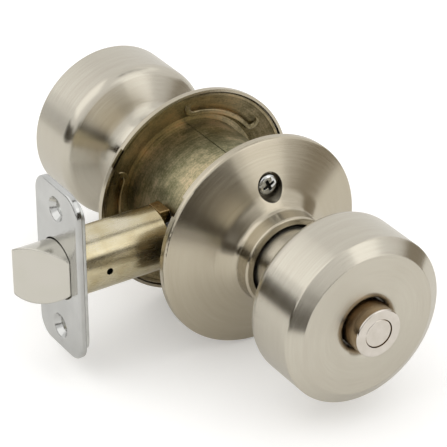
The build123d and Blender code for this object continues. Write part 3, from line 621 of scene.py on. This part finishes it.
grids, sunk = zip(*[screw_grid(height, turn) for height, turn in zip(screw_heights, SCREW_TURNS)])
screws = closed_grids("mounting_screw_pair", *grids)
sunk_shares = screws.data.attributes.new("sunk", "FLOAT", "POINT")
sunk_shares.data.foreach_set("value", np.concatenate(sunk).ravel())
screws.data.materials.append(screw_zinc())
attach(screws, "lock_case")
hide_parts("mounting_screws")

# Knobs: each a drawn bell with a neck, and a drawn drum and face rolled over it.
# Nickel plated brass with the same spun satin as the roses, in lighter and cooler tones.
KNOB_TONES = ("#bdb6a8", "#c1bbad", "#c5c0b2")
nickel = spun_satin_nickel("spun_satin_nickel", KNOB_TONES, ())
for side in ("inside", "outside"):
    finish_nodes(nickel, f"{side}_knob_shell", f"{side}_knob_back")
finish_nodes(nickel, "outside_face_plug")

# Push button: a hollow button turned from brass bar, with a disc pressed into its face.
# Its end is polished and nickel plated; the plate thins out on the side, where the brass shows brown.
BUTTON_CLOUD_MM = 3


def button_nickel():
    """Nickel over brass: the eye sees a polished pale end and a brown, softer side.

    The plate fades in as the surface turns to face along the knob axis.
    """
    material, tree = new_material("nickel_over_brass")
    place = add(tree, "TexCoord").outputs["Object"]
    haze = add(tree, "TexNoise", {"Vector": place, "Scale": per_metre(BUTTON_CLOUD_MM), "Detail": 4.0})
    normal = add(tree, "SeparateXYZ", {"Vector": add(tree, "NewGeometry").outputs["Normal"]})
    facing = add(tree, "Math", {0: normal.outputs["Y"]}, operation="ABSOLUTE")
    plated = add(tree, "MapRange", {"Value": facing, "From Min": 0.05, "From Max": 0.25})
    brass, bright = (
        add(tree, "ValToRGB", {"Fac": haze}, stops=((NOISE_LOW, dark), (NOISE_HIGH, light)))
        for dark, light in (("#97836a", "#ad9a80"), ("#c8c1b6", "#d4cdc4"))
    )
    colour = add(
        tree, "Mix", {SHARE: plated, FIRST_COLOUR: brass, SECOND_COLOUR: bright}, data_type="RGBA"
    )
    gloss = add(tree, "MapRange", {"Value": plated, "To Min": 0.22, "To Max": 0.07})
    shader = add(tree, "BsdfPrincipled", {"Base Color": colour, "Metallic": 1.0, "Roughness": gloss})
    add(tree, "OutputMaterial", {"Surface": shader})
    return material


finish_nodes(button_nickel(), "push_button", "button_disc")

# Studio: a white table in a white tent, lit by three soft boxes.
# Curved boards, a seam overhead and a small flag, all of felt, stand out of the picture.
# Only the metal sees them, as dark bands in its mirror.
FLOOR_GAP = 0.2 * MM
FLOOR_Z = cad_low[2] - FLOOR_GAP
FLOOR_SIZE = 1.8
FLOOR_CORNER = (-FLOOR_SIZE / 2, -FLOOR_SIZE / 2, FLOOR_Z)
CAMERA_LIFT = 0.22
MIRROR_LIFT = 0.06
CARD_POINTS = 3


def surface(name, points):
    """Mesh of a grid of points: each cell between neighbouring rows and columns is one face."""
    rows, columns, _ = points.shape
    number = np.arange(rows * columns).reshape(rows, columns)
    corners = [number[:-1, :-1], number[:-1, 1:], number[1:, 1:], number[1:, :-1]]
    mesh = bpy.data.meshes.new(name)
    mesh.from_pydata(points.reshape(-1, 3).tolist(), [], np.stack(corners, -1).reshape(-1, 4).tolist())
    piece = bpy.data.objects.new(name, mesh)
    bpy.context.scene.collection.objects.link(piece)
    return piece


def card(corner, across, up):
    """Flat rectangle: a corner plus shares, from 0 to 1, of the two edges that leave it."""
    share = np.linspace(0, 1, CARD_POINTS)
    return np.array(corner) + share[None, :, None] * np.array(across) + share[:, None, None] * np.array(up)


def white_table():
    """White paint: the eye sees it as white as the tent, with a soft shadow under the object.

    A little glow lifts it to that for the camera, and less of it for mirrors.
    """
    material, tree = new_material("white_table")
    path = add(tree, "LightPath")
    bounced = {0: path.outputs["Is Glossy Ray"], 1: path.outputs["Is Transmission Ray"]}
    mirrored = add(tree, "Math", bounced, operation="ADD")
    mirrored = add(tree, "Math", {0: mirrored, 1: MIRROR_LIFT}, operation="MULTIPLY")
    seen = {0: path.outputs["Is Camera Ray"], 1: CAMERA_LIFT, 2: mirrored}
    lift = add(tree, "Math", seen, operation="MULTIPLY_ADD")
    paint = add(tree, "BsdfDiffuse", {"Color": linear("#f2f1ef")})
    glow = add(tree, "Emission", {"Color": linear("#ffffff"), "Strength": lift})
    both = add(tree, "AddShader", {0: paint, 1: glow})
    add(tree, "OutputMaterial", {"Surface": both})
    return material


floor = surface("floor", card(FLOOR_CORNER, across=(FLOOR_SIZE, 0, 0), up=(0, FLOOR_SIZE, 0)))
floor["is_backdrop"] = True
floor.data.materials.append(white_table())

BOARD_COLUMNS = 65
BOARD_ROWS = 5
NAP_MM = 40
BROWN_FELT = {"light": "#4b4338", "dark": "#332d25"}
GREY_FELT = {"light": "#a49a8b", "dark": "#8f8677"}


def curved_board(first, last, rise, radius):
    """Upright arc: a circle of this radius between two turns from the front, times a height.

    The height runs from the table to a rise above the knob axis. Turns and rise are in degrees.
    """
    turn = np.radians(np.linspace(first, last, BOARD_COLUMNS))[None, :]
    share = np.linspace(0, 1, BOARD_ROWS)[:, None]
    top = radius * math.tan(math.radians(rise))
    z = FLOOR_Z + share * (top - FLOOR_Z)
    return np.stack(np.broadcast_arrays(radius * np.sin(turn), -radius * np.cos(turn), z), -1)


def felt(name, light, dark, reach=0.0):
    """Felt: the eye sees a set tone with a faint nap. Surfaces nearer than its reach see past it."""
    material, tree = new_material(name)
    place = add(tree, "TexCoord").outputs["Object"]
    nap = add(tree, "TexNoise", {"Vector": place, "Scale": per_metre(NAP_MM), "Detail": 3.0})
    tone = add(tree, "ValToRGB", {"Fac": nap}, stops=((NOISE_LOW, dark), (NOISE_HIGH, light)))
    cloth = add(tree, "Emission", {"Color": tone, "Strength": 1.0})
    length = add(tree, "LightPath").outputs["Ray Length"]
    far = add(tree, "Math", {0: length, 1: reach}, operation="GREATER_THAN")
    clear = add(tree, "BsdfTransparent")
    shader = add(tree, "MixShader", {0: far, 1: clear, 2: cloth})
    add(tree, "OutputMaterial", {"Surface": shader})
    return material


def hang(screen, cover):
    """Place a screen that only mirror rays see."""
    screen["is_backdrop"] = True
    screen.visible_camera = False
    screen.visible_shadow = False
    screen.visible_diffuse = False
    screen.data.materials.append(cover)


brown_felt = felt("brown_felt", **BROWN_FELT)
grey_felt = felt("grey_felt", **GREY_FELT)
# For each board: its name and felt, its first and last turn from the front, its rise and its radius.
for name, cover, first, last, rise, radius in (
    ("left_screen", brown_felt, -136, -70, 16, 0.6),
    ("low_screen", brown_felt, -70, -24, 6, 0.6),
    ("far_screen", brown_felt, -24, 13, 10, 0.6),
    ("front_screen", brown_felt, -45, -18, 6, 0.2),
    ("right_screen", grey_felt, 36, 95, 10, 0.25),
):
    hang(surface(name, curved_board(first, last, rise, radius)), cover)

SEAM_CORNER = (0.1, -0.13, 0.85)
SEAM_LENGTH = 0.7
SEAM_WIDTH = 0.15
seam = card(SEAM_CORNER, across=(SEAM_LENGTH, 0, 0), up=(0, SEAM_WIDTH, 0))
hang(surface("tent_seam", seam), brown_felt)

# The flag stands beside the inside knob, just behind its face, and darkens the rose's mirror.
# The knob itself is nearer than the flag's reach, so it sees past it.
FLAG_LEFT = -56 * MM
FLAG_BOTTOM = 2 * MM
FLAG_SET_BACK = 3.3 * MM
FLAG_WIDTH = 60 * MM
FLAG_HEIGHT = 44 * MM
FLAG_REACH = 32 * MM
flag_corner = (FLAG_LEFT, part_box("inside_knob_shell")[0].y + FLAG_SET_BACK, FLAG_BOTTOM)
flag = card(flag_corner, across=(FLAG_WIDTH, 0, 0), up=(0, 0, FLAG_HEIGHT))
hang(surface("rose_flag", flag), felt("flag_felt", **BROWN_FELT, reach=FLAG_REACH))

# The tent is white to the camera and in mirrors, and a touch greyer as a light.
world = bpy.data.worlds.new("white_tent")
bpy.context.scene.world = world
world.use_nodes = True
tree = world.node_tree
tree.nodes.clear()
path = add(tree, "LightPath")
looks = {0: path.outputs["Is Camera Ray"], 1: path.outputs["Is Glossy Ray"]}
seen = add(tree, "Math", looks, operation="ADD")
seen = add(tree, "Math", {0: seen, 1: path.outputs["Is Transmission Ray"]}, operation="ADD")
tent = add(tree, "Background", {"Color": linear("#fafafa"), "Strength": 1.0})
white = add(tree, "Background", {"Color": linear("#ffffff"), "Strength": 1.0})
both = add(tree, "MixShader", {0: seen, 1: tent, 2: white})
add(tree, "OutputWorld", {"Surface": both})

LAMP_DISTANCE = 1.0


def soft_box(name, azimuth, elevation, width, height, power):
    """Area light on a sphere of fixed radius, facing its middle, at a turn from the front and a rise."""
    lamp = bpy.data.lights.new(name, "AREA")
    lamp.shape = "RECTANGLE"
    lamp.size = width
    lamp.size_y = height
    lamp.energy = power
    light = bpy.data.objects.new(name, lamp)
    bpy.context.scene.collection.objects.link(light)
    turn, rise = math.radians(azimuth), math.radians(elevation)
    towards = (math.sin(turn) * math.cos(rise), -math.cos(turn) * math.cos(rise), math.sin(rise))
    light.location = [LAMP_DISTANCE * part for part in towards]
    light.rotation_euler = light.location.to_track_quat("Z", "Y").to_euler()


soft_box("left_box", azimuth=-110, elevation=52, width=1.2, height=0.90, power=1.9)
soft_box("right_box", azimuth=55, elevation=54, width=1.2, height=0.60, power=0.80)
soft_box("front_box", azimuth=30, elevation=24, width=0.40, height=0.55, power=0.40)

# Camera: the photograph's place, a long lens looking down on the inside knob.
# Its place, roll and lens were fitted to the faceplate and the round outlines in the photograph.
CAMERA_AZIMUTH = math.radians(-32.63)
CAMERA_ELEVATION = math.radians(30.65)
CAMERA_ROLL = math.radians(-0.15)
CAMERA_DISTANCE = 747.3 * MM
CAMERA_SIDE = -0.68 * MM
CAMERA_RISE = -3.19 * MM
CAMERA_LENS_PIXELS = 2378.3
FRAME_PIXELS = 447
SENSOR_WIDTH_MM = 36.0

back = np.array(
    [
        math.sin(CAMERA_AZIMUTH) * math.cos(CAMERA_ELEVATION),
        -math.cos(CAMERA_AZIMUTH) * math.cos(CAMERA_ELEVATION),
        math.sin(CAMERA_ELEVATION),
    ]
)
level = np.array([math.cos(CAMERA_AZIMUTH), math.sin(CAMERA_AZIMUTH), 0.0])
upright = np.cross(back, level)
right = math.cos(CAMERA_ROLL) * level + math.sin(CAMERA_ROLL) * upright
up = np.cross(back, right)
lens = bpy.data.cameras.new("camera")
lens.sensor_width = SENSOR_WIDTH_MM
lens.lens = SENSOR_WIDTH_MM * CAMERA_LENS_PIXELS / FRAME_PIXELS
camera = bpy.data.objects.new("camera", lens)
bpy.context.scene.collection.objects.link(camera)
pose = np.eye(4)
pose[:3, 0] = right
pose[:3, 1] = up
pose[:3, 2] = back
pose[:3, 3] = back * CAMERA_DISTANCE + right * CAMERA_SIDE + up * CAMERA_RISE
camera.matrix_world = pose.T.tolist()
bpy.context.scene.camera = camera
bpy.context.scene.view_settings.view_transform = "Standard"

# Sizes: the imported model's box from the start and the dressed model's box now, in metres.
# Both are kept as plain numbers.
low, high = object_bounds()
